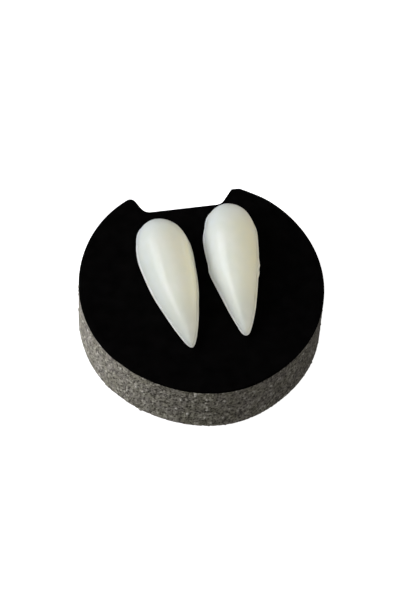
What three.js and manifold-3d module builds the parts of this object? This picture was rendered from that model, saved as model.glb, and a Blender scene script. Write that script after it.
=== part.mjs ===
// A pair of clip-on vampire fang tooth caps lying on the notched foam disc that holds them.
// Millimetres, +Z up. The origin is the centre of the disc's underside, +Y points to the notch
// and +X to the right of someone who looks towards the notch.

import * as THREE from 'three';
import Module from 'manifold-3d';
import { mergeVertices } from 'three/addons/utils/BufferGeometryUtils.js';

const wasm = await Module();
wasm.setup();

// Fang caps: hollow resin shells with a solid tip and a tooth socket open at the back

const FANG_LENGTH = 19;
const FANG_WIDTH = 7;
const FANG_HEIGHT = 4;
const WALL = 1;
const SOLID_TIP = 6.5;
const RIM_ROUND = 0.3;
const SOCKET_SQUARENESS = 4;

// How the pair lies on the disc

const FANG_GAP = 1.3;
const PAIR_RIGHT = 0.35;
const PAIR_BACK = 0.75;
const STAGGER = 0.9;
const SEAT_GAP = 0.3;
const LEFT_LEAN = THREE.MathUtils.degToRad(4.3);
const RIGHT_LEAN = THREE.MathUtils.degToRad(-3.2);
const LEFT_BOW = 0;
const RIGHT_BOW = -0.2;

// Foam disc with its flocked face

const DISC_RADIUS = 15.5;
const FOAM_THICKNESS = 8.1;
const FACE_THICKNESS = 0.5;
const NOTCH_DEPTH = 3.95;
const NOTCH_FLOOR = 9.7;
const NOTCH_FLARE = THREE.MathUtils.degToRad(34.5);
const NOTCH_FILLET = 1.05;
const HORN_RADIUS = 0.95;

// How finely the round stretches are divided

const DISC_STEPS = 88;
const FILLET_STEPS = 6;
const FANG_STATIONS = 30;
const SOCKET_STATIONS = 18;
const ARCH_STEPS = 24;
const ROUND_STEPS = 3;

// One fang's sections from the tip to the gum end: where each lies along the length, and its
// width and crown height, all as shares of the fang's own sizes.

const FANG_SECTIONS = [
  { along: 0.03, width: 0.17, crown: 0.18 },
  { along: 0.1, width: 0.33, crown: 0.36 },
  { along: 0.22, width: 0.54, crown: 0.58 },
  { along: 0.36, width: 0.74, crown: 0.79 },
  { along: 0.52, width: 0.92, crown: 0.95 },
  { along: 0.68, width: 1.0, crown: 1.0 },
  { along: 0.8, width: 0.965, crown: 0.95 },
  { along: 0.9, width: 0.8, crown: 0.8 },
  { along: 0.97, width: 0.51, crown: 0.5 },
];

// Materials

const resin = new THREE.MeshStandardMaterial({ color: 0xe4e3d6, roughness: 0.22, metalness: 0 });
const foam = new THREE.MeshStandardMaterial({ color: 0x6e6b66, roughness: 0.95, metalness: 0 });
const flocking = new THREE.MeshStandardMaterial({ color: 0x080808, roughness: 1, metalness: 0 });

// Closed skins over rings of points

function closedLoft(firstPoint, rings, lastPoint) {
  const positions = [...firstPoint.toArray()];
  for (const ring of rings) {
    for (const point of ring) {
      positions.push(...point.toArray());
    }
  }
  positions.push(...lastPoint.toArray());
  const perRing = rings[0].length;
  const start = (ring) => 1 + ring * perRing;
  const last = start(rings.length);
  const indices = [];
  for (let i = 0; i < perRing; i += 1) {
    const next = (i + 1) % perRing;
    indices.push(0, start(0) + i, start(0) + next);
    for (let ring = 0; ring + 1 < rings.length; ring += 1) {
      const near = start(ring);
      const far = start(ring + 1);
      indices.push(near + i, far + i, far + next);
      indices.push(near + i, far + next, near + next);
    }
    indices.push(last, start(rings.length - 1) + next, start(rings.length - 1) + i);
  }
  const geometry = new THREE.BufferGeometry();
  geometry.setAttribute('position', new THREE.Float32BufferAttribute(positions, 3));
  geometry.setIndex(indices);
  return geometry;
}

// Cutting one closed geometry out of another

function toSolid(geometry) {
  const bare = geometry.clone();
  bare.deleteAttribute('normal');
  bare.deleteAttribute('uv');
  const merged = mergeVertices(bare);
  return new wasm.Manifold(new wasm.Mesh({
    numProp: 3,
    vertProperties: new Float32Array(merged.attributes.position.array),
    triVerts: new Uint32Array(merged.index.array),
  }));
}

function cutOut(geometry, cutter) {
  const mesh = toSolid(geometry).subtract(toSolid(cutter)).getMesh();
  const result = new THREE.BufferGeometry();
  result.setAttribute('position', new THREE.Float32BufferAttribute(mesh.vertProperties, 3));
  result.setIndex([...mesh.triVerts]);
  result.computeVertexNormals();
  return result;
}

// The fang's half width and crown height follow one smooth curve from the tip to the gum end.
// It runs on round the other side with both turned over, so that it leaves each end squarely
// and both ends come out round.

function fangProfile() {
  const archHeight = FANG_HEIGHT - RIM_ROUND;
  const row = (section, side) => new THREE.Vector3(
    side * section.width * FANG_WIDTH / 2,
    section.along * FANG_LENGTH,
    side * section.crown * archHeight,
  );
  const tip = new THREE.Vector3(0, 0, 0);
  const gumEnd = new THREE.Vector3(0, FANG_LENGTH, 0);
  const outward = FANG_SECTIONS.map((section) => row(section, 1));
  const homeward = FANG_SECTIONS.map((section) => row(section, -1)).reverse();
  const curve = new THREE.CatmullRomCurve3([tip, ...outward, gumEnd, ...homeward], true);
  const stations = [];
  for (let i = 0; i <= FANG_STATIONS; i += 1) {
    const point = curve.getPoint(i / FANG_STATIONS / 2);
    stations.push({ y: point.y, halfWidth: point.x, height: point.z });
  }
  return stations;
}

function profileAt(profile, y) {
  const after = Math.max(1, profile.findIndex((station) => station.y >= y));
  const low = profile[after - 1];
  const high = profile[after];
  const share = (y - low.y) / (high.y - low.y);
  return {
    halfWidth: THREE.MathUtils.lerp(low.halfWidth, high.halfWidth, share),
    height: THREE.MathUtils.lerp(low.height, high.height, share),
  };
}

// The midline of a fang bows sideways by `bow` at half length. The fang is centred on its own
// origin, with its back in the plane z = 0.

function midline(y, bow) {
  const fromMiddle = 2 * y / FANG_LENGTH - 1;
  return new THREE.Vector3(bow * (1 - fromMiddle ** 2), y - FANG_LENGTH / 2, 0);
}

function fangRing(station, bow) {
  const centre = midline(station.y, bow);
  const round = RIM_ROUND * station.halfWidth / (FANG_WIDTH / 2);
  const ring = [];
  for (let i = 0; i < ROUND_STEPS; i += 1) {
    const angle = (i / ROUND_STEPS - 1) * Math.PI / 2;
    const x = station.halfWidth - round + round * Math.cos(angle);
    ring.push(new THREE.Vector3(x, 0, round + round * Math.sin(angle)));
  }
  for (let i = 0; i <= ARCH_STEPS / 2; i += 1) {
    const angle = i / ARCH_STEPS * Math.PI;
    const x = station.halfWidth * Math.cos(angle);
    ring.push(new THREE.Vector3(x, 0, round + station.height * Math.sin(angle)));
  }
  const otherSide = ring.slice(0, -1).reverse().map((p) => new THREE.Vector3(-p.x, 0, p.z));
  return [...ring, ...otherSide].map((point) => point.add(centre));
}

// The tooth socket is the fang's own profile less the wall. The squareness says how fully it
// keeps that form before it rounds off at both ends: 2 is an ellipse, and more is squarer.

function socketCutter(profile, bow) {
  const end = FANG_LENGTH - WALL;
  const rings = [];
  for (let i = 1; i < SOCKET_STATIONS; i += 1) {
    const turn = i / SOCKET_STATIONS * Math.PI;
    const share = (1 - Math.cos(turn)) / 2;
    const y = THREE.MathUtils.lerp(SOLID_TIP, end, share);
    const rounding = Math.sqrt(1 - (2 * share - 1) ** SOCKET_SQUARENESS);
    const outer = profileAt(profile, y);
    const halfWidth = (outer.halfWidth - WALL) * rounding;
    const height = (outer.height + RIM_ROUND - WALL) * rounding;
    const centre = midline(y, bow);
    const ring = [];
    for (let k = 0; k < ARCH_STEPS; k += 1) {
      const angle = k / ARCH_STEPS * Math.PI * 2;
      const z = height * Math.sin(angle);
      ring.push(new THREE.Vector3(halfWidth * Math.cos(angle), 0, z).add(centre));
    }
    rings.push(ring);
  }
  return closedLoft(midline(SOLID_TIP, bow), rings, midline(end, bow));
}

function fangGeometry(bow) {
  const profile = fangProfile();
  const rings = profile.slice(1, -1).map((station) => fangRing(station, bow));
  const body = closedLoft(midline(0, bow), rings, midline(FANG_LENGTH, bow));
  return cutOut(body, socketCutter(profile, bow));
}

// The outline that the foam and its flocked face share: a circle with a flared notch, whose
// inner corners are filleted and whose two horns are rounded.

function arcPoints(centre, radius, from, to, steps) {
  const points = [];
  for (let i = 0; i <= steps; i += 1) {
    const angle = THREE.MathUtils.lerp(from, to, i / steps);
    const offset = new THREE.Vector2(Math.cos(angle), Math.sin(angle)).multiplyScalar(radius);
    points.push(offset.add(centre));
  }
  return points;
}

function discOutline() {
  const floorY = DISC_RADIUS - NOTCH_DEPTH;
  const corner = new THREE.Vector2(NOTCH_FLOOR / 2, floorY);
  const alongWall = new THREE.Vector2(Math.sin(NOTCH_FLARE), Math.cos(NOTCH_FLARE));
  const intoFoam = new THREE.Vector2(Math.cos(NOTCH_FLARE), -Math.sin(NOTCH_FLARE));
  const inFoam = corner.clone().addScaledVector(intoFoam, HORN_RADIUS);
  const ahead = inFoam.dot(alongWall);
  const reach = DISC_RADIUS - HORN_RADIUS;
  const toHorn = Math.sqrt(ahead ** 2 - inFoam.lengthSq() + reach ** 2) - ahead;
  const horn = inFoam.addScaledVector(alongWall, toHorn);
  const toFillet = NOTCH_FILLET * (1 - Math.sin(NOTCH_FLARE)) / Math.cos(NOTCH_FLARE);
  const fillet = corner.clone().addScaledVector(intoFoam, -NOTCH_FILLET);
  fillet.addScaledVector(alongWall, toFillet);
  const wallAngle = Math.PI - NOTCH_FLARE;
  const hornAngle = horn.angle();
  const rightHalf = [
    ...arcPoints(new THREE.Vector2(), DISC_RADIUS, -Math.PI / 2, hornAngle, DISC_STEPS / 2),
    ...arcPoints(horn, HORN_RADIUS, hornAngle, wallAngle, FILLET_STEPS).slice(1),
    ...arcPoints(fillet, NOTCH_FILLET, -NOTCH_FLARE, -Math.PI / 2, FILLET_STEPS),
  ];
  const leftHalf = rightHalf.slice(1).reverse().map((p) => new THREE.Vector2(-p.x, p.y));
  return new THREE.Shape([...rightHalf, ...leftHalf]);
}

function discSlab(thickness) {
  return new THREE.ExtrudeGeometry(discOutline(), { depth: thickness, bevelEnabled: false });
}

// Assembly

const set = new THREE.Group();

const foamDisc = new THREE.Mesh(discSlab(FOAM_THICKNESS), foam);
foamDisc.name = 'foam_disc';
set.add(foamDisc);

const flockedFace = new THREE.Mesh(discSlab(FACE_THICKNESS), flocking);
flockedFace.name = 'flocked_face';
flockedFace.position.z = FOAM_THICKNESS;
set.add(flockedFace);

const pair = new THREE.Group();
pair.position.set(PAIR_RIGHT, PAIR_BACK, FOAM_THICKNESS + FACE_THICKNESS + SEAT_GAP);
set.add(pair);

function addFang(name, side, lean, bow) {
  const fang = new THREE.Mesh(fangGeometry(bow), resin.clone());
  fang.name = name;
  fang.position.set(side * (FANG_WIDTH + FANG_GAP) / 2, side * STAGGER / 2, 0);
  fang.rotation.z = lean;
  pair.add(fang);
}

addFang('left_fang', -1, LEFT_LEAN, LEFT_BOW);
addFang('right_fang', 1, RIGHT_LEAN, RIGHT_BOW);

export default set;
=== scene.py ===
# %% [markdown]
# # A pair of vampire fang caps on their foam disc
#
# The object is small: two hollow tooth caps, 19 mm long, lying on a round foam disc with a
# notch in its rim and a black flocked face. The solid model of it is already packed, so this
# lesson starts from that fixed frame and only makes the looks. Every size of the object is
# either read from the frame or is a named real size in millimetres.

# %% Load the frame
import math
import bmesh
import bpy
import numpy as np
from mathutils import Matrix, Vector, geometry, noise


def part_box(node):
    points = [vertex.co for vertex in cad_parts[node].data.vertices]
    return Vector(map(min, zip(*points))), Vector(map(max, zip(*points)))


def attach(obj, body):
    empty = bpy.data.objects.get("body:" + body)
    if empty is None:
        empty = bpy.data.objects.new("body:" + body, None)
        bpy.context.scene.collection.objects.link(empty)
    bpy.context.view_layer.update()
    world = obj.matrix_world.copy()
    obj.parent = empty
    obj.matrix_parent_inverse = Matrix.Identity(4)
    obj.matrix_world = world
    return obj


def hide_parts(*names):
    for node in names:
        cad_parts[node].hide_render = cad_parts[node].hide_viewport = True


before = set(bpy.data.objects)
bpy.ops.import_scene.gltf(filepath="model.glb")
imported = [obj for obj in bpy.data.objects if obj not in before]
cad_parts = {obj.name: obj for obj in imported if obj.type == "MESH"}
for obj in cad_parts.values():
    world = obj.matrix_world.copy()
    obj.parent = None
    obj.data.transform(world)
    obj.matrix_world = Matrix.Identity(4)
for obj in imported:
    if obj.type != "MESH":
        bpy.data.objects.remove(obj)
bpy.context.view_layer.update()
scene = bpy.context.scene
MM = 0.001

foam_low, foam_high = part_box("foam_disc")
DISC_RADIUS = (foam_high[0] - foam_low[0]) / 2
FOAM_TOP = foam_high[2]
_, (_, _, FACE_TOP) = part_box("flocked_face")
(_, _, SEAT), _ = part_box("left_fang")
print("disc radius", round(DISC_RADIUS / MM, 2), "mm, face at", round(FACE_TOP / MM, 2), "mm")


def put_in_scene(name, data):
    """An object made of this data, linked into the scene."""
    thing = bpy.data.objects.new(name, data)
    scene.collection.objects.link(thing)
    return thing


# %% [markdown]
# ## The camera
#
# A product photo like this one is taken from far away with a long lens, so the disc's far and
# near edges have almost the same scale. The place of the camera follows from the disc itself:
# a circle seen from above becomes an ellipse, its flatness gives the elevation, and the notch
# gives the turn. The camera is then set by direction, distance and roll, which is easier to
# correct than three rotation angles.

# %% Camera
IMAGE_WIDTH_PX = 401
IMAGE_HEIGHT_PX = 601
FILM_LONG_SIDE_MM = 36.0
CAMERA_TURN = math.radians(16.3)
CAMERA_ELEVATION = math.radians(58.2)
CAMERA_ROLL = math.radians(6.4)
PIXELS_PER_MM = 7.905
CAMERA_DISTANCE = 368.4 * MM
FACE_CENTRE_PX = (202.33, 284.3)
NEAREST_SEEN = 10 * MM
FARTHEST_SEEN = 10.0


def camera_axes():
    """Right, up and forward of a camera that looks straight at the centre of the face."""
    forward = Vector((
        math.sin(CAMERA_TURN) * math.cos(CAMERA_ELEVATION),
        math.cos(CAMERA_TURN) * math.cos(CAMERA_ELEVATION),
        -math.sin(CAMERA_ELEVATION),
    ))
    level_right = forward.cross(Vector((0, 0, 1))).normalized()
    level_up = level_right.cross(forward)
    right = level_right * math.cos(CAMERA_ROLL) + level_up * math.sin(CAMERA_ROLL)
    return right, right.cross(forward), forward


def place_camera():
    """Aims a long lens so that the centre of the disc's face lands on its pixel."""
    right, up, forward = camera_axes()
    face_centre = Vector((0, 0, FACE_TOP))
    eye = face_centre - forward * CAMERA_DISTANCE
    off_right = (FACE_CENTRE_PX[0] - IMAGE_WIDTH_PX / 2) / PIXELS_PER_MM * MM
    off_down = (FACE_CENTRE_PX[1] - IMAGE_HEIGHT_PX / 2) / PIXELS_PER_MM * MM
    aim = face_centre - right * off_right + up * off_down
    look = (aim - eye).normalized()
    right = look.cross(up).normalized()
    up = right.cross(look)
    focal_px = PIXELS_PER_MM * CAMERA_DISTANCE / MM
    data = bpy.data.cameras.new("photo_camera")
    data.lens = focal_px * FILM_LONG_SIDE_MM / max(IMAGE_WIDTH_PX, IMAGE_HEIGHT_PX)
    data.sensor_width = FILM_LONG_SIDE_MM
    data.clip_start = NEAREST_SEEN
    data.clip_end = FARTHEST_SEEN
    camera = put_in_scene("photo_camera", data)
    axes = [right, up, -look]
    for row in range(3):
        for column in range(3):
            camera.matrix_world[row][column] = axes[column][row]
        camera.matrix_world[row][3] = eye[row]
    bpy.context.scene.camera = camera
    print("lens", round(data.lens, 1), "mm")


place_camera()

# %% [markdown]
# ## Floor and light
#
# The fangs show one long soft highlight on their left and no hard shadow, and the disc's side
# goes from light grey on the left to dark on the right. That is a large soft box on the left
# with a low strip under it, a dim even room and almost no light from the right. The floor is
# pale and lies under the whole picture. A pale floor also throws light back at the disc from
# all around, and here the right side stays dark, so the floor is shown to the camera alone and
# a grey card at the same place does the bouncing.

# %% View transform and plain materials
scene.view_settings.view_transform = "Standard"
scene.view_settings.look = "None"
scene.cycles.use_light_tree = False
print("view transform", scene.view_settings.view_transform)


def node_material(name):
    """A material with just a Principled shader and an output, its node tree and the shader."""
    material = bpy.data.materials.new(name)
    material.use_nodes = True
    tree = material.node_tree
    tree.nodes.clear()
    output = tree.nodes.new("ShaderNodeOutputMaterial")
    shader = tree.nodes.new("ShaderNodeBsdfPrincipled")
    tree.links.new(shader.outputs["BSDF"], output.inputs["Surface"])
    return material, tree, shader


def set_inputs(shader, values):
    """Gives plain values to a shader's named inputs."""
    for name, value in values.items():
        shader.inputs[name].default_value = value


# %% The pale floor and its bounce card
FLOOR_REACH = 0.6
FLOOR_DROP = 0.02 * MM
CARD_DROP = 0.04 * MM
FLOOR_GLOW = 0.95
FLOOR_COLOUR = (0.9, 0.9, 0.9, 1)
GLOW_COLOUR = (1, 1, 1, 1)
CARD_COLOUR = (0.05, 0.05, 0.05, 1)


def flat_square(name, drop):
    """A wide square plane centred under the object, `drop` below its foot."""
    corners = [(x * FLOOR_REACH, y * FLOOR_REACH, -drop)
               for x, y in ((-1, -1), (1, -1), (1, 1), (-1, 1))]
    mesh = bpy.data.meshes.new(name)
    mesh.from_pydata(corners, [], [(0, 1, 2, 3)])
    square = put_in_scene(name, mesh)
    return square


def make_floor():
    floor = flat_square("floor", FLOOR_DROP)
    material, _, shader = node_material("pale_floor")
    set_inputs(shader, {"Base Color": FLOOR_COLOUR, "Roughness": 0.9,
                        "Emission Color": GLOW_COLOUR, "Emission Strength": FLOOR_GLOW})
    floor.data.materials.append(material)
    floor.visible_diffuse = False
    floor.visible_glossy = False
    floor.visible_transmission = False
    card = flat_square("bounce_card", CARD_DROP)
    material, _, shader = node_material("bounce_grey")
    set_inputs(shader, {"Base Color": CARD_COLOUR, "Roughness": 1.0})
    card.data.materials.append(material)
    card.visible_camera = False
    print("floor", 2 * FLOOR_REACH, "m wide")


make_floor()

# %% [markdown]
# The caps glow evenly, yet the foam beside them stays dark on the right. In a studio small
# cream cards close to the caps do that. Here three lights are linked to the caps alone, and
# glossy rays don't see them, so they fill without a second highlight. Milky resin lets light
# pass, so one cap doesn't stop these lights for the other, only the foam does. Linked lights
# add up exactly when every light is sampled evenly, so the light tree of Cycles is off.

# %% Soft lights
LIGHT_DISTANCE = 0.42
LIGHTS = [
    # name, direction round the disc and above it in degrees, width m, height m, watts, colour,
    # and whether it lights the caps alone
    ("left_soft_box", 162, 31, 0.36, 0.25, 1.18, (0.95, 0.925, 1.0), False),
    ("left_low_strip", 178, 14, 0.56, 0.16, 0.20, (0.93, 1.0, 0.6), False),
    ("front_dim", 240, 20, 0.40, 0.30, 0.03, (1.0, 0.95, 0.85), False),
    ("cream_card", 338, 30, 0.50, 0.40, 1.14, (1.0, 0.915, 0.8), True),
    ("front_card", 235, 55, 0.40, 0.40, 0.29, (1.0, 1.0, 0.98), True),
    ("low_card", 206, 2, 0.50, 0.20, 0.17, (0.85, 1.0, 0.88), True),
]
ROOM_BRIGHTNESS = 0.198
ROOM_COLOUR = (1, 0.96, 0.92, 1)
caps_only = bpy.data.collections.new("caps_only")
light_stops = bpy.data.collections.new("light_stops")


def area_light(name, round_disc, above, width, height, watts, colour, for_caps):
    """A rectangular soft light that faces the disc, with its width level."""
    data = bpy.data.lights.new(name, "AREA")
    data.shape = "RECTANGLE"
    data.size = width
    data.size_y = height
    data.energy = watts
    data.color = colour
    light = put_in_scene(name, data)
    turn, lift = math.radians(round_disc), math.radians(above)
    away = Vector((math.cos(turn) * math.cos(lift), math.sin(turn) * math.cos(lift),
                   math.sin(lift)))
    light.location = away * LIGHT_DISTANCE
    light.rotation_mode = "QUATERNION"
    light.rotation_quaternion = away.to_track_quat("Z", "Y")
    if for_caps:
        light.light_linking.receiver_collection = caps_only
        light.light_linking.blocker_collection = light_stops
        light.visible_glossy = False


for light_row in LIGHTS:
    area_light(*light_row)
room = bpy.data.worlds.new("dim_room")
room.use_nodes = True
set_inputs(room.node_tree.nodes["Background"], {"Color": ROOM_COLOUR, "Strength": ROOM_BRIGHTNESS})
scene.world = room
print(len(LIGHTS), "soft lights and a dim room")

# %% [markdown]
# ## The outline of the disc
#
# Foam and flocked face are stamped out together, so they share one outline: a circle with a
# flared notch whose inner corners are filleted and whose two horns are rounded. It is worked
# out from a few sizes, as on a drawing. Foam gives under the knife, so the real disc also has
# a few shallow bulges. Dense even steps along the outline carry the foam's cells.

# %% Outline
NOTCH_DEPTH = 3.95 * MM
NOTCH_FILLET = 1.2 * MM
ROUND_STEPS = 400
CORNER_STEPS = 24
NOTCH_SIDES = [
    # half of the floor's width, flare of the wall, radius of the horn, and how far back it
    # reaches before it is cut off: right side, left side
    (4.73 * MM, math.radians(39.5), 0.6 * MM, 13.58 * MM),
    (5.17 * MM, math.radians(26), 0.7 * MM, DISC_RADIUS),
]
OUT_OF_ROUND = [
    # direction and half width of a bulge in degrees, how far it stands out in mm
    (126, 30, 0.24), (172, 22, 0.10), (205, 22, 0.15), (274, 18, 0.17), (50, 20, 0.08),
    (235, 14, -0.07), (303, 14, -0.06), (56, 6, -0.09), (219, 4, -0.08),
]


def arc(centre, radius, start, end, steps):
    """Points on an arc, both ends included."""
    angles = np.linspace(start, end, steps + 1)
    return np.stack([centre[0] + radius * np.cos(angles), centre[1] + radius * np.sin(angles)], 1)


def half_outline(floor_half, flare, horn_radius, horn_back):
    """Half of the drawn outline, from the front round to the notch's middle, on the right."""
    corner = np.array([floor_half, DISC_RADIUS - NOTCH_DEPTH])
    along_wall = np.array([math.sin(flare), math.cos(flare)])
    into_foam = np.array([math.cos(flare), -math.sin(flare)])
    start = corner + into_foam * horn_radius
    ahead = start @ along_wall
    reach = DISC_RADIUS - horn_radius
    horn = start + along_wall * (math.sqrt(ahead ** 2 - start @ start + reach ** 2) - ahead)
    to_fillet = NOTCH_FILLET * (1 - math.sin(flare)) / math.cos(flare)
    fillet = corner - into_foam * NOTCH_FILLET + along_wall * to_fillet
    horn_angle = math.atan2(horn[1], horn[0])
    half = np.concatenate([
        arc((0, 0), DISC_RADIUS, -math.pi / 2, horn_angle, ROUND_STEPS),
        arc(horn, horn_radius, horn_angle, math.pi - flare, CORNER_STEPS)[1:],
        arc(fillet, NOTCH_FILLET, -flare, -math.pi / 2, CORNER_STEPS),
    ])
    half[:, 1] = np.minimum(half[:, 1], horn_back)
    return half


print("drawn outline", len(half_outline(*NOTCH_SIDES[0])), "points a side")

# %% The real disc's outline at even steps
AREA_STEP = 0.2 * MM
SAME_PLACE = 1e-6 * MM


def out_of_round(loop):
    """Pushes the drawn outline in and out by the real disc's shallow bulges."""
    angle = np.degrees(np.arctan2(loop[:, 1], loop[:, 0]))
    push = np.zeros(len(loop))
    for direction, half_width, stands_out in OUT_OF_ROUND:
        off = (angle - direction + 180) % 360 - 180
        push += stands_out * MM * np.exp(-(off / half_width) ** 2)
    return loop * (1 + push / np.hypot(loop[:, 0], loop[:, 1]))[:, None]


def outward(loop):
    """Outward normals of a closed loop in the plane."""
    tangents = np.roll(loop, -1, 0) - np.roll(loop, 1, 0)
    tangents /= np.linalg.norm(tangents, axis=1)[:, None]
    return np.stack([tangents[:, 1], -tangents[:, 0]], 1)


def even_steps(loop, step):
    """Resamples a closed loop at even steps and gives its outward normals."""
    closed = np.concatenate([loop, loop[:1]])
    lengths = np.linalg.norm(np.diff(closed, axis=0), axis=1)
    closed = closed[np.concatenate([[True], lengths > SAME_PLACE])]
    run = np.concatenate([[0], np.cumsum(np.linalg.norm(np.diff(closed, axis=0), axis=1))])
    count = int(round(run[-1] / step))
    at = np.arange(count) / count * run[-1]
    points = np.stack([np.interp(at, run, closed[:, 0]), np.interp(at, run, closed[:, 1])], 1)
    return points, outward(points)


def disc_outline(step):
    """The closed outline as points `step` apart, anticlockwise, and their outward normals."""
    right, left = [half_outline(*side) for side in NOTCH_SIDES]
    loop = np.concatenate([right, left[::-1] * (-1, 1)])
    return even_steps(out_of_round(loop), step)


def loop_area(points):
    """The area inside a closed loop."""
    x, y = points.T
    return abs(float(np.sum(x * np.roll(y, -1) - y * np.roll(x, -1)))) / 2


outline_area = loop_area(disc_outline(AREA_STEP)[0])
print("outline area", round(outline_area / MM ** 2), "square mm")

# %% [markdown]
# ## Slabs from one outline
#
# Both the foam and its face are slabs: a wall that follows the outline through a short edge
# profile, closed by two flat caps. A cap could be one big polygon, but then it has no points
# to move. A Delaunay triangulation over a jittered grid gives it even small triangles, so the
# underside can be as rough as the wall.

# %% Triangles inside a loop
JITTER = 0.25
MARGIN_SHARE = 0.6
MERGE_WITHIN_MM = 1e-6


def scattered_inside(outline, spacing, margin, rng):
    """Points on a jittered grid inside the outline, at least `margin` from it."""
    reach = np.abs(outline).max()
    ticks = np.arange(-reach, reach, spacing)
    x, y = np.meshgrid(ticks, ticks)
    x = x + (np.arange(len(ticks)) % 2 * spacing / 2)[:, None]
    grid = np.stack([x.ravel(), y.ravel()], 1)
    grid += rng.uniform(-JITTER, JITTER, grid.shape) * spacing
    angle = np.arctan2(outline[:, 1], outline[:, 0])
    order = np.argsort(angle)
    rim = np.hypot(outline[order, 0], outline[order, 1])
    limit = np.interp(np.arctan2(grid[:, 1], grid[:, 0]), angle[order], rim, period=2 * math.pi)
    grid = grid[np.hypot(grid[:, 0], grid[:, 1]) < limit - margin]
    near = [np.min(np.sum((outline[::2] - point) ** 2, axis=1)) for point in grid]
    return grid[np.array(near) > margin ** 2]


def cap(outline, spacing, rng):
    """Triangles over the inside of a loop. The loop's own points come first."""
    inner = scattered_inside(outline, spacing, spacing * MARGIN_SHARE, rng)
    points = np.concatenate([outline, inner])
    count = len(outline)
    edges = [(i, (i + 1) % count) for i in range(count)]
    flat = [Vector(p / MM) for p in points]
    made = geometry.delaunay_2d_cdt(flat, edges, [], 1, MERGE_WITHIN_MM)
    return np.array([tuple(v) for v in made[0]]) * MM, [tuple(f) for f in made[2]]


# %% Slab builder
def wall_faces(count, row_count):
    """Four-sided faces between neighbouring rows of `count` points."""
    faces = []
    for row in range(row_count - 1):
        for i in range(count):
            j = (i + 1) % count
            low, high = row * count, (row + 1) * count
            faces.append((low + i, low + j, high + j, high + i))
    return faces


def slab(name, outline, normals, profile, cap_spacings, rng):
    """A closed slab. `profile` holds (inset, height) pairs from the underside's edge up."""
    count = len(outline)
    rows = [np.column_stack([outline - normals * inset, np.full(count, height)])
            for inset, height in profile]
    vertices = list(np.concatenate(rows))
    faces = wall_faces(count, len(profile))
    ends = [(0, cap_spacings[0], True), (len(profile) - 1, cap_spacings[1], False)]
    for row, spacing, downward in ends:
        height = profile[row][1]
        points, triangles = cap(rows[row][:, :2], spacing, rng)
        start = len(vertices)
        renumber = [row * count + i if i < count else start + i - count
                    for i in range(len(points))]
        vertices.extend(np.column_stack([points[count:], np.full(len(points) - count, height)]))
        for triangle in triangles:
            corners = [renumber[i] for i in triangle]
            faces.append(tuple(reversed(corners)) if downward else tuple(corners))
    mesh = bpy.data.meshes.new(name)
    mesh.from_pydata([tuple(v) for v in vertices], [], faces)
    mesh.update()
    return put_in_scene(name, mesh)


# %% Helpers for a mesh's points
def mesh_points(mesh):
    """The mesh's vertex places and normals as arrays."""
    points = np.empty(len(mesh.vertices) * 3)
    mesh.vertices.foreach_get("co", points)
    normals = np.empty(len(mesh.vertices) * 3)
    mesh.vertices.foreach_get("normal", normals)
    return points.reshape(-1, 3), normals.reshape(-1, 3)


def set_points(mesh, points):
    """Writes the vertex places back."""
    mesh.vertices.foreach_set("co", points.ravel())
    mesh.update()


def vertex_value(mesh, name, values):
    """Stores one number a vertex, for a material to read."""
    attribute = mesh.attributes.new(name, "FLOAT", "POINT")
    attribute.data.foreach_set("value", np.asarray(values, dtype=np.float32))


def shade_smooth(mesh):
    """Smooth shading on every face."""
    mesh.polygons.foreach_set("use_smooth", [True] * len(mesh.polygons))


def sway_at(points, size):
    """Smooth noise from about -1 to 1 at each point."""
    return np.array([noise.noise(Vector(point / size)) for point in points])


# %% [markdown]
# ## The foam
#
# The disc is cut from grey open-cell foam. The knife opens cells about a third of a
# millimetre wide and a little taller: each is a tiny dark pit with a lighter wall round it,
# and a few skins of cell wall stand out and catch the light as white glints. A bump map would
# leave the edge a clean line, so the cells are real: every point of the dense wall looks up
# the Voronoi cell that it is in and sinks by how deep inside the cell it lies. The same
# numbers are stored on the mesh for the colour, which also paints shade into the pits and a
# highlight onto the glints.

# %% Foam profile
CELL_STEP = 0.1 * MM
LOWER_EDGE_RADIUS = 0.3 * MM
LOWER_EDGE_POINTS = 4


def foam_profile():
    """The wall's section: a worn lower edge, then straight up to the face."""
    bends = np.linspace(math.pi / 2, 0, LOWER_EDGE_POINTS)
    worn = [(LOWER_EDGE_RADIUS * (1 - math.cos(a)), LOWER_EDGE_RADIUS * (1 - math.sin(a)))
            for a in bends]
    count = int(round((FOAM_TOP - LOWER_EDGE_RADIUS) / CELL_STEP))
    rise = np.linspace(LOWER_EDGE_RADIUS, FOAM_TOP, count + 1)[1:]
    return worn + [(0.0, height) for height in rise]


print("foam wall", len(foam_profile()), "rows high")

# %% Foam cells
CELL_SIZE = 0.3 * MM
CELL_TALLNESS = 1.4
CELL_SHAPE = np.array((1, 1, CELL_TALLNESS)) * CELL_SIZE
CELL_WALL = 0.38
SCRAMBLE_X = 12.9898
SCRAMBLE_Y = 78.233
SCRAMBLE_Z = 37.719
SCRAMBLE_RANGE = 43758.5453


# A cell's number comes from its centre, scrambled, so all points of a cell share it.
def foam_cells(points):
    """How far inside its cell each point is, from 0 on the wall to 1, and the cell's number,
    also from 0 to 1."""
    inside = np.empty(len(points))
    number = np.empty(len(points))
    for i, point in enumerate(points):
        distances, centres = noise.voronoi(Vector(point / CELL_SHAPE))
        inside[i] = min(1.0, (distances[1] - distances[0]) / CELL_WALL)
        centre = centres[0]
        number[i] = math.sin(centre.x * SCRAMBLE_X + centre.y * SCRAMBLE_Y + centre.z * SCRAMBLE_Z)
    number = number * SCRAMBLE_RANGE
    return inside, number - np.floor(number)


# %% Foam body
FOAM_SEED = 11
UNDERSIDE_STEP = 0.3 * MM
HIDDEN_TOP_STEP = 2 * MM
CELL_DEPTH = 0.06 * MM
SKIN_RISE = 0.03 * MM
GLINT_RISE = 0.09 * MM
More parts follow.
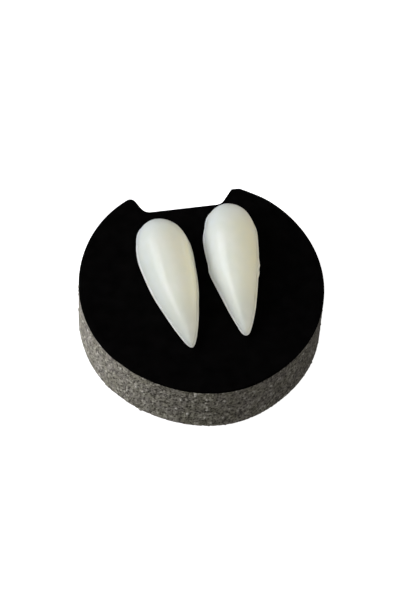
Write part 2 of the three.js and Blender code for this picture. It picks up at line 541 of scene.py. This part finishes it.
# A cell's number says whether it is open, skinned or a glint.
OPEN_BELOW = 0.62
OPEN_FADE = 0.25
SKINNED_ABOVE = 0.84
SKINNED_FADE = 0.06
GLINT_ABOVE = 0.97
CUT_EDGE = 0.35 * MM
DEPTH_AT_CUT = 0.4
GLUED_EDGE = 0.02 * MM
CUT_SLANT = (0.16 * MM, -0.26 * MM)
CLOUD_SIZE = 1.1 * MM
WALL_LIGHTNESS = 0.54
GRAIN_SHARE = 0.5
CLOUD_SHARE = 0.1
SKIN_LIGHTER = 0.4
# How much painted shade darkens an open pit.
PIT_SHADE_DARKER = 0.55


def foam_lightness(points, inside, open_cell, skinned):
    """How light the foam's colour is at each point, from 0 with painted shade in a deep pit to 1 on a
    bright skin.
    """
    grain = GRAIN_SHARE * sway_at(points, CELL_SHAPE / 2) + CLOUD_SHARE * sway_at(points, CLOUD_SIZE)
    # Open cells get painted shade, darker the deeper inside the pit.
    cells = inside * (SKIN_LIGHTER * skinned - PIT_SHADE_DARKER * open_cell)
    return np.clip(WALL_LIGHTNESS + grain + cells, 0, 1)


def make_foam():
    rng = np.random.default_rng(FOAM_SEED)
    outline, normals = disc_outline(CELL_STEP)
    foam = slab("foam_body", outline, normals, foam_profile(),
                (UNDERSIDE_STEP, HIDDEN_TOP_STEP), rng)
    points, facing = mesh_points(foam.data)
    inside, number = foam_cells(points)
    open_cell = np.clip((OPEN_BELOW - number) / OPEN_FADE, 0, 1)
    skinned = np.clip((number - SKINNED_ABOVE) / SKINNED_FADE, 0, 1)
    glint = inside * (number > GLINT_ABOVE)
    below_cut = np.clip((FOAM_TOP - points[:, 2]) / CUT_EDGE, 0, 1)
    depth = CELL_DEPTH * (DEPTH_AT_CUT + (1 - DEPTH_AT_CUT) * below_cut)
    sink = inside * (depth * open_cell - SKIN_RISE * skinned)
    sink -= GLINT_RISE * glint * below_cut
    sink[points[:, 2] > FOAM_TOP - GLUED_EDGE] = 0
    sink[points[:, 2] < LOWER_EDGE_RADIUS / 2] /= 2
    drop = 1 - points[:, 2] / FOAM_TOP
    moved = points - facing * sink[:, None]
    moved[:, 0] += CUT_SLANT[0] * drop
    moved[:, 1] += CUT_SLANT[1] * drop
    moved[:, 2] = np.maximum(moved[:, 2], 0)
    set_points(foam.data, moved)
    vertex_value(foam.data, "lightness", foam_lightness(points, inside, open_cell, skinned))
    # The glint mask raises the cells, makes them smoother and carries a painted highlight in the
    # colour.
    vertex_value(foam.data, "glint", glint)
    shade_smooth(foam.data)
    print("foam", len(points), "points")
    return foam


foam = make_foam()
light_stops.objects.link(foam)

# %% [markdown]
# ## The foam's finish
#
# Grey foam isn't one grey. Cell walls are lighter than the pits, whose darkness is painted
# shade, single cells differ, and some spots are a little warmer than others. The stored numbers
# give the first two, a soft noise gives the warmer spots, and the glints are smoother and
# painted almost white, a painted highlight, so that they shine.

# %% Helpers for materials
def mix_colour(tree, amount, first, second):
    """Blends two colours by a number; an argument is a socket or a plain value."""
    node = tree.nodes.new("ShaderNodeMix")
    node.data_type = "RGBA"
    colours = [s for s in node.inputs if s.type == "RGBA"]
    for socket, value in ((node.inputs[0], amount), (colours[0], first), (colours[1], second)):
        if hasattr(value, "is_output"):
            tree.links.new(value, socket)
        else:
            socket.default_value = value
    return [s for s in node.outputs if s.type == "RGBA"][0]


def remap(tree, value, low, high, to_low, to_high):
    """Maps a range of a number to another range, clamped."""
    node = tree.nodes.new("ShaderNodeMapRange")
    tree.links.new(value, node.inputs["Value"])
    node.inputs["From Min"].default_value = low
    node.inputs["From Max"].default_value = high
    node.inputs["To Min"].default_value = to_low
    node.inputs["To Max"].default_value = to_high
    return node.outputs["Result"]


def stored(tree, name):
    """Reads a number that the mesh stores at its vertices."""
    node = tree.nodes.new("ShaderNodeAttribute")
    node.attribute_name = name
    return node.outputs["Fac"]


def noise_on_object(tree, scale, detail=2.0):
    """Noise in the object's own metres."""
    place = tree.nodes.new("ShaderNodeTexCoord")
    node = tree.nodes.new("ShaderNodeTexNoise")
    tree.links.new(place.outputs["Object"], node.inputs["Vector"])
    node.inputs["Scale"].default_value = scale
    node.inputs["Detail"].default_value = detail
    return node.outputs["Fac"]


# %% Foam material
# Painted shade: the colour at the bottom of an open pit.
PIT_SHADE_COLOUR = (0.08, 0.075, 0.063, 1)
WARM_WALL_COLOUR = (0.5, 0.48, 0.4, 1)
COOL_WALL_COLOUR = (0.49, 0.46, 0.425, 1)
SKIN_COLOUR = (1.0, 0.98, 0.9, 1)
# Painted highlight: the almost white colour of the glint cells.
GLINT_PAINTED_HIGHLIGHT = (1.0, 0.99, 0.95, 1)
FOAM_ROUGHNESS = 0.6
GLINT_ROUGHNESS = 0.25
WARM_SPOTS_A_METRE = 500.0


def foam_material():
    material, tree, shader = node_material("grey_foam")
    spots = remap(tree, noise_on_object(tree, WARM_SPOTS_A_METRE), 0.38, 0.62, 0.0, 1.0)
    wall = mix_colour(tree, spots, WARM_WALL_COLOUR, COOL_WALL_COLOUR)
    lightness = stored(tree, "lightness")
    # The low half of the lightness runs from painted pit shade up to the wall's colour.
    colour = mix_colour(tree, remap(tree, lightness, 0.0, 0.5, 0.0, 1.0), PIT_SHADE_COLOUR, wall)
    colour = mix_colour(tree, remap(tree, lightness, 0.5, 1.0, 0.0, 1.0), colour, SKIN_COLOUR)
    glint = stored(tree, "glint")
    # Glint cells are painted almost white, a painted highlight.
    colour = mix_colour(tree, glint, colour, GLINT_PAINTED_HIGHLIGHT)
    roughness = remap(tree, glint, 0.0, 0.3, FOAM_ROUGHNESS, GLINT_ROUGHNESS)
    tree.links.new(colour, shader.inputs["Base Color"])
    tree.links.new(roughness, shader.inputs["Roughness"])
    return material


foam.data.materials.append(foam_material())
print("foam wears", foam.data.materials[0].name)

# %% [markdown]
# ## The flocked face
#
# The face is a thin sheet whose top is flocked: short black fibres stand in glue and swallow
# nearly all light. Foam and sheet could be one slab, but the black edge is a layer of its own
# in the photo. So the sheet is a second slab from the same outline, with a softened upper edge
# and a top that isn't quite flat.

# %% Flocked sheet
SHEET_SEED = 12
SHEET_STEP = 0.28 * MM
SHEET_EDGE_RADIUS = 0.07 * MM
SHEET_EDGE_POINTS = 5
SHEET_UNEVEN = 0.012 * MM
SHEET_WAVE = 2.5 * MM
TOP_WITHIN = 0.01 * MM
SHEET_CAP_STEPS = (SHEET_STEP * 4, SHEET_STEP * 2)


def make_sheet():
    rng = np.random.default_rng(SHEET_SEED)
    outline, normals = disc_outline(SHEET_STEP)
    bends = np.linspace(0, math.pi / 2, SHEET_EDGE_POINTS)
    edge = [(SHEET_EDGE_RADIUS * (1 - math.cos(a)),
             FACE_TOP - SHEET_EDGE_RADIUS * (1 - math.sin(a))) for a in bends]
    profile = [(0.0, FOAM_TOP), (0.0, (FOAM_TOP + edge[0][1]) / 2)] + edge
    sheet = slab("flocked_sheet", outline, normals, profile, SHEET_CAP_STEPS, rng)
    points, _ = mesh_points(sheet.data)
    on_top = points[:, 2] > FACE_TOP - TOP_WITHIN
    points[:, 2] -= np.where(on_top, SHEET_UNEVEN * (1 + sway_at(points, SHEET_WAVE)), 0)
    set_points(sheet.data, points)
    shade_smooth(sheet.data)
    print("sheet", len(points), "points")
    return sheet


sheet = make_sheet()

# %% [markdown]
# Flock is short fibre set upright in glue. A hair system could grow it, but hair isn't a mesh,
# and this nap has to travel with the piece. So the fibres are thousands of tiny spikes on a
# jittered grid, each with its own length and lean. They give the face its soft horizon and
# close the hair's breadth between it and the fangs.

# %% Nap of short fibres
NAP_SEED = 13
NAP_SPACING = 0.21 * MM
NAP_FROM_EDGE = 0.12 * MM
NAP_OUTLINE_STEP = 0.3 * MM
NAP_LENGTH = 0.26 * MM
NAP_SHORTEST = 0.6
NAP_WIDTH = 0.045 * MM
NAP_LEAN = 0.45
NAP_ROOT_DEPTH = 2.5 * SHEET_UNEVEN
SPIKE_SIDES = 3
SPIKE_FACES = ((0, 1, 3), (1, 2, 3), (2, 0, 3), (0, 2, 1))


def make_nap():
    """One mesh of tiny three-sided spikes over the whole face."""
    rng = np.random.default_rng(NAP_SEED)
    outline, _ = disc_outline(NAP_OUTLINE_STEP)
    feet = scattered_inside(outline, NAP_SPACING, NAP_FROM_EDGE, rng)
    count = len(feet)
    turn = rng.uniform(0, 2 * math.pi, count)
    lean = rng.uniform(0, NAP_LEAN, count)
    length = NAP_LENGTH * rng.uniform(NAP_SHORTEST, 1.0, count)
    foot_height = FACE_TOP - NAP_ROOT_DEPTH
    corners = []
    for k in range(SPIKE_SIDES):
        angle = turn + k * 2 * math.pi / SPIKE_SIDES
        x = feet[:, 0] + NAP_WIDTH / 2 * np.cos(angle)
        y = feet[:, 1] + NAP_WIDTH / 2 * np.sin(angle)
        corners.append(np.column_stack([x, y, np.full(count, foot_height)]))
    sway = rng.uniform(0, 2 * math.pi, count)
    tip_x = feet[:, 0] + length * np.sin(lean) * np.cos(sway)
    tip_y = feet[:, 1] + length * np.sin(lean) * np.sin(sway)
    corners.append(np.column_stack([tip_x, tip_y, foot_height + length * np.cos(lean)]))
    vertices = np.stack(corners, 1).reshape(-1, 3)
    first = np.arange(count)[:, None] * (SPIKE_SIDES + 1)
    faces = np.concatenate([first + corner_numbers for corner_numbers in SPIKE_FACES])
    mesh = bpy.data.meshes.new("flock_nap")
    mesh.from_pydata(vertices.tolist(), [], faces.tolist())
    mesh.update()
    print("nap", count, "fibres")
    return put_in_scene("flock_nap", mesh)


nap = make_nap()

# %% [markdown]
# The flock is almost black in every light. A plain dark colour would still shine at a flat
# angle, so the finish is fully rough with hardly any specular and a trace of sheen, and a soft
# noise keeps the black from being one flat tone.

# %% Flock material
FLOCK_BLACK = (0.0016, 0.0015, 0.0016, 1)
FLOCK_DARK_GREY = (0.004, 0.0037, 0.0038, 1)
PATCHES_A_METRE = 600.0


def flock_material():
    material, tree, shader = node_material("black_flock")
    patches = remap(tree, noise_on_object(tree, PATCHES_A_METRE), 0.3, 0.7, 0.0, 1.0)
    colour = mix_colour(tree, patches, FLOCK_BLACK, FLOCK_DARK_GREY)
    tree.links.new(colour, shader.inputs["Base Color"])
    set_inputs(shader, {"Roughness": 1.0, "Specular IOR Level": 0.02, "Sheen Weight": 0.003,
                        "Sheen Roughness": 0.5})
    return material


flock = flock_material()
sheet.data.materials.append(flock)
nap.data.materials.append(flock)
print("face and nap wear", flock.name)

# %% [markdown]
# ## The fang caps
#
# A cap is a shell of tooth-coloured resin: a long drop with a round gum end and a solid tip,
# hollow behind so that it slips over a tooth. Where the two halves of its mould met, a fine
# bead runs round the back edge. The mesh is one bag of closed loops, each with the same number
# of points. It starts on the crest, comes down the outside, rolls under the bead, crosses the
# flat back and climbs into the socket, so it is closed and even all over and has no boolean
# cut. The edge was trimmed by hand. The crown follows only the broad part of that trimming,
# and the fine part stays at the edge where the knife was.

# %% Fang sections
FANG_LENGTH = 19 * MM
FANG_WIDTH = 7 * MM
FANG_HEIGHT = 4 * MM
WALL = 1 * MM
SOLID_TIP = 6.5 * MM
RIM_ROUND = 0.3 * MM
SOCKET_SQUARENESS = 4
FANG_SECTIONS = {
    "along": (0, 0.03, 0.1, 0.22, 0.36, 0.52, 0.68, 0.8, 0.9, 0.97, 1),
    "width": (0, 0.17, 0.33, 0.54, 0.74, 0.92, 1.0, 0.965, 0.8, 0.51, 0),
    "crown": (0, 0.18, 0.36, 0.58, 0.79, 0.95, 1.0, 0.95, 0.8, 0.5, 0),
}


def round_ended(column, along):
    """A column of the sections at any share of the length. The turn from 0 to pi that goes
    with each share spreads the ends out, so that both come out round."""
    knots = np.arccos(1 - 2 * np.array(FANG_SECTIONS["along"]))
    values = np.array(FANG_SECTIONS[column], dtype=float)
    slopes = np.gradient(values, knots)
    turn = np.arccos(np.clip(1 - 2 * np.asarray(along), -1, 1))
    before = np.clip(np.searchsorted(knots, turn) - 1, 0, len(knots) - 2)
    gap = knots[before + 1] - knots[before]
    part = (turn - knots[before]) / gap
    rest = 1 - part
    return (values[before] * (1 + 2 * part) * rest ** 2
            + values[before + 1] * part ** 2 * (3 - 2 * part)
            + slopes[before] * gap * part * rest ** 2
            - slopes[before + 1] * gap * part ** 2 * rest)


half_way = float(FANG_WIDTH * round_ended("width", 0.5))
print("a cap is", round(half_way / MM, 2), "mm wide half way along")

# %% Outline of a cap
STATIONS = 150
ZERO_DECIMALS = 9
SMOOTHING_ROUNDS = 120


def stations():
    """The share of the length and the side at each point of a loop: 1 on the right, -1 on the
    left and 0 at both ends. A loop runs up the right side from the tip and down the left."""
    turn = np.arange(2 * STATIONS) * math.pi / STATIONS
    along = (1 - np.cos(turn)) / 2
    side = np.sign(np.round(np.sin(turn), ZERO_DECIMALS))
    return along, side


def trim(shape, along, side):
    """How far the edge stands past the drawn outline, in metres, at each point of a loop."""
    edges = []
    for edge in ("right_edge", "left_edge"):
        shares, heights = np.array(shape[edge]).T
        edges.append(np.interp(along, shares, heights))
    return np.where(side > 0, edges[0], edges[1]) * MM


def smoothed(values):
    """Averages the values round a closed loop with their neighbours, many times over."""
    for _ in range(SMOOTHING_ROUNDS):
        values = (np.roll(values, 1) + 2 * values + np.roll(values, -1)) / 4
    return values


def trimmed_outline(shape):
    """The outline of a cap as trimmed, and the fine part of its trim at each point."""
    along, side = stations()
    half = FANG_WIDTH / 2 * round_ended("width", along)
    drawn = np.stack([side * half, along * FANG_LENGTH], 1)
    left_standing = trim(shape, along, side)
    fine = outward(drawn) * (left_standing - smoothed(left_standing))[:, None]
    return drawn + outward(drawn) * left_standing[:, None], fine


print("each loop has", len(stations()[0]), "points")

# %% Loops down the outside
# The bead's section in mm from the flat back upwards: how far out of the outline, and how high.
BEAD_PROFILE_MM = ((-0.12, 0.0), (-0.04, 0.01), (0.0, 0.06), (0.0, 0.14), (-0.02, 0.18),
                   (-0.06, 0.21), (-0.12, 0.22), (-0.16, 0.21), (-0.18, 0.2), (-0.19, 0.24))
CROWN_ROWS = 44


def outside_loops(shape):
    """Loops from the crest down the outside and round the bead."""
    along, _ = stations()
    plan, fine = trimmed_outline(shape)
    facing = outward(plan)
    foot_out, foot_up = BEAD_PROFILE_MM[-1]
    foot = plan + facing * foot_out * MM
    crown = (FANG_HEIGHT - RIM_ROUND) * round_ended("crown", along)
    loops = []
    for row in range(CROWN_ROWS + 1):
        rise = math.pi / 2 * (1 - row / CROWN_ROWS)
        ring = foot - fine * (1 - (1 - math.sin(rise)) ** 2)
        x = ring[:, 0] * math.cos(rise)
        z = foot_up * MM + crown * math.sin(rise)
        loops.append(np.column_stack([x, ring[:, 1], z]))
    for out, up in reversed(BEAD_PROFILE_MM[:-1]):
        edge = plan + facing * out * MM
        loops.append(np.column_stack([edge, np.full(len(edge), up * MM)]))
    return loops


# %% Loops across the back and into the socket
BACK_ROWS = 5
SOCKET_ROWS = 26


def socket_loops(back_edge):
    """Loops from the back's edge across the flat back and up to the crest of the socket."""
    along, side = stations()
    socket_along = (SOLID_TIP + along * (FANG_LENGTH - WALL - SOLID_TIP)) / FANG_LENGTH
    rounding = np.sqrt(np.clip(1 - (2 * along - 1) ** SOCKET_SQUARENESS, 0, 1))
    inner_half = (FANG_WIDTH / 2 * round_ended("width", socket_along) - WALL) * rounding
    mouth = np.stack([side * inner_half, socket_along * FANG_LENGTH], 1)
    loops = []
    for row in range(1, BACK_ROWS + 1):
        share = row / BACK_ROWS
        flat = back_edge * (1 - share) + mouth * share
        loops.append(np.column_stack([flat, np.zeros(len(flat))]))
    ceiling = (FANG_HEIGHT - RIM_ROUND) * round_ended("crown", socket_along) + RIM_ROUND - WALL
    for row in range(1, SOCKET_ROWS + 1):
        rise = math.pi / 2 * row / SOCKET_ROWS
        z = ceiling * rounding * math.sin(rise)
        loops.append(np.column_stack([mouth[:, 0] * math.cos(rise), mouth[:, 1], z]))
    return loops


def fang_loops(shape):
    """All loops of a cap, from the crest down the outside and up into the socket."""
    outside = outside_loops(shape)
    return outside + socket_loops(outside[-1][:, :2])


print("a cap has", CROWN_ROWS + len(BEAD_PROFILE_MM) + BACK_ROWS + SOCKET_ROWS, "loops")

# %% Fang mesh
WELD_WITHIN = 0.0005 * MM
DISSOLVE_WITHIN = 0.0002 * MM


def loops_to_mesh(name, loops):
    """Skins consecutive loops and welds the points that meet on the two spines."""
    count = len(loops[0])
    vertices = np.concatenate(loops)
    mesh = bpy.data.meshes.new(name)
    steps = np.arange(count)
    following = (steps + 1) % count
    faces = []
    for row in range(len(loops) - 1):
        upper, lower = row * count, (row + 1) * count
        faces.append(np.stack([upper + steps, lower + steps, lower + following,
                               upper + following], 1))
    mesh.from_pydata(vertices.tolist(), [], np.concatenate(faces).tolist())
    body = bmesh.new()
    body.from_mesh(mesh)
    bmesh.ops.remove_doubles(body, verts=body.verts, dist=WELD_WITHIN)
    bmesh.ops.dissolve_degenerate(body, dist=DISSOLVE_WITHIN, edges=body.edges)
    bmesh.ops.recalc_face_normals(body, faces=body.faces)
    body.to_mesh(mesh)
    body.free()
    shade_smooth(mesh)
    return mesh


# %% [markdown]
# The two caps come from the same mould but were trimmed by hand, so each has its own small
# departures from the drawn outline, and the pair lies as it was put down: splayed a little,
# with the right one nearer the notch.

# %% Shapes of the pair
FANGS = [
    # lean and bow of a cap, and how far each edge was left standing past the drawn outline, as
    # pairs of a share of the length and a height in mm
    {"name": "left_cap", "node": "left_fang", "side": -1, "lean": math.radians(4.3), "bow": 0.0,
     "right_edge": ((0, -0.03), (0.07, 0.03), (0.2, 0.1), (0.31, 0.09), (0.4, 0.16), (0.6, 0.1),
                    (0.78, 0.32), (0.9, 0.25), (0.96, -0.03), (1, -0.07)),
     "left_edge": ((0, -0.05), (0.1, -0.08), (0.3, -0.08), (0.4, -0.03), (0.6, -0.13), (0.7, -0.07),
                   (0.78, -0.11), (0.86, -0.12), (0.92, 0.03), (0.96, 0.1), (0.98, 0.09),
                   (0.986, 0.0), (0.99, 0.06), (1, -0.08))},
    {"name": "right_cap", "node": "right_fang", "side": 1, "lean": math.radians(-3.2),
     "bow": -0.2 * MM,
     "right_edge": ((0, 0.17), (0.04, 0.12), (0.2, 0.15), (0.42, 0.04), (0.46, 0.16), (0.49, 0.08),
                    (0.52, 0.17), (0.58, 0.04), (0.69, 0.1), (0.8, 0.27), (0.93, 0.18), (0.97, -0.02),
                    (1, 0.0)),
     "left_edge": ((0, 0.16), (0.06, -0.02), (0.15, -0.06), (0.3, -0.09), (0.37, -0.03),
                   (0.45, 0.06), (0.5, 0.08), (0.56, -0.13), (0.63, -0.14), (0.75, -0.09),
                   (0.85, -0.18), (0.93, 0.06), (0.96, 0.09), (1, 0.0))},
]
print("caps", [shape["name"] for shape in FANGS])

# %% Make the pair
FANG_GAP = 1.3 * MM
PAIR_RIGHT = 0.35 * MM
PAIR_BACK = 0.75 * MM
STAGGER = 0.9 * MM
SURFACE_UNEVEN = 0.022 * MM
SURFACE_WAVE = np.array((1.6, 4.5, 1.6)) * MM
SURFACE_FADE = 0.6 * MM


def laid_down(points, shape):
    """Turns the points of a cap by its lean and moves them to its place on the nap."""
    turn = shape["lean"]
    along = points[:, 1] - FANG_LENGTH / 2
    x = points[:, 0] * math.cos(turn) - along * math.sin(turn)
    y = points[:, 0] * math.sin(turn) + along * math.cos(turn)
    x += PAIR_RIGHT + shape["side"] * (FANG_WIDTH + FANG_GAP) / 2
    y += PAIR_BACK + shape["side"] * STAGGER / 2
    return np.column_stack([x, y, points[:, 2] + SEAT])


def make_fang(shape):
    mesh = loops_to_mesh(shape["name"], fang_loops(shape))
    points, facing = mesh_points(mesh)
    fade = np.clip((points[:, 2] - RIM_ROUND) / SURFACE_FADE, 0, 1)
    points += facing * (SURFACE_UNEVEN * sway_at(points, SURFACE_WAVE) * fade)[:, None]
    along = points[:, 1] / FANG_LENGTH
    points[:, 0] += shape["bow"] * (1 - (2 * along - 1) ** 2)
    vertex_value(mesh, "along", along)
    # The share across the cap feeds the painted light and shade in the colour.
    vertex_value(mesh, "across", points[:, 0] / (FANG_WIDTH / 2))
    set_points(mesh, laid_down(points, shape))
    fang = put_in_scene(shape["name"], mesh)
    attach(fang, "root")
    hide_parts(shape["node"])
    caps_only.objects.link(fang)
    print(shape["name"], len(mesh.polygons), "faces")
    return fang


caps = [make_fang(shape) for shape in FANGS]

# %% [markdown]
# ## The resin
#
# Tooth-coloured resin is milky: light goes in, scatters for about half a millimetre and comes
# out again, which softens every shade. Subsurface scattering does just that. A thin clear
# gloss that bends light strongly lies on top and gives the crisp edge of the highlight and the
# fine bright line round the rim. The colour goes from a cool white to cream across the cap,
# painted light and shade: cool white where the left lights fall, cream for the warmer shade on
# the right. The tip is greyer, the gum end cooler, and faint clouds and streaks break up the
# rest.

# %% Resin colours
# Painted light and shade: cool white for the lit left side, cream for the shaded right side.
LIT_SIDE_WHITE = (0.775, 0.83, 0.81, 1)
SHADED_SIDE_CREAM = (0.80, 0.80, 0.62, 1)
GUM_END_COLOUR = (0.75, 0.84, 0.86, 1)
TIP_COLOUR = (0.585, 0.62, 0.60, 1)
CLOUD_COLOUR = (0.72, 0.77, 0.69, 1)
MILK_COLOUR = (0.83, 0.85, 0.82, 1)
CLOUDS_A_METRE = 800.0
MILK_A_METRE = 260.0
RESIN_DETAIL = 3.0


def resin_colour(tree):
    """The colour of a cap: painted light and shade across it, along it, then clouds and milky
    streaks.
    """
    # Painted light across the cap: lit cool white on the left, shaded cream on the right.
    across = remap(tree, stored(tree, "across"), -0.7, 0.7, 0.0, 1.0)
    colour = mix_colour(tree, across, LIT_SIDE_WHITE, SHADED_SIDE_CREAM)
    along = stored(tree, "along")
    gum_end = remap(tree, along, 0.75, 1.0, 0.0, 0.9)
    colour = mix_colour(tree, gum_end, colour, GUM_END_COLOUR)
    tip = remap(tree, along, 0.0, 0.35, 1.0, 0.0)
    colour = mix_colour(tree, tip, colour, TIP_COLOUR)
    clouds = noise_on_object(tree, CLOUDS_A_METRE, RESIN_DETAIL)
    colour = mix_colour(tree, remap(tree, clouds, 0.35, 0.65, 0.0, 0.35), colour, CLOUD_COLOUR)
    milk = noise_on_object(tree, MILK_A_METRE, RESIN_DETAIL)
    return mix_colour(tree, remap(tree, milk, 0.4, 0.7, 0.0, 0.35), colour, MILK_COLOUR)


# %% Resin material
RED_GREEN_BLUE_REACH = (1.0, 0.96, 0.88)
SCATTER_REACH = 0.6 * MM


def resin_material():
    material, tree, shader = node_material("tooth_resin")
    tree.links.new(resin_colour(tree), shader.inputs["Base Color"])
    set_inputs(shader, {
        "Roughness": 0.5, "IOR": 1.5, "Specular IOR Level": 0.1,
        "Subsurface Weight": 1.0, "Subsurface Radius": RED_GREEN_BLUE_REACH,
        "Subsurface Scale": SCATTER_REACH,
        "Coat Weight": 0.2, "Coat IOR": 2.0, "Coat Roughness": 0.03,
    })
    return material


resin = resin_material()
for fang in caps:
    fang.data.materials.append(resin)
print("caps wear", resin.name)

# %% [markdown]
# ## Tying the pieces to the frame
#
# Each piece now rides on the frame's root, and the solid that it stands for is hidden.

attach(foam, "root")
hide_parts("foam_disc")

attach(sheet, "root")
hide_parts("flocked_face")
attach(nap, "root")
sheet_points, _ = mesh_points(sheet.data)
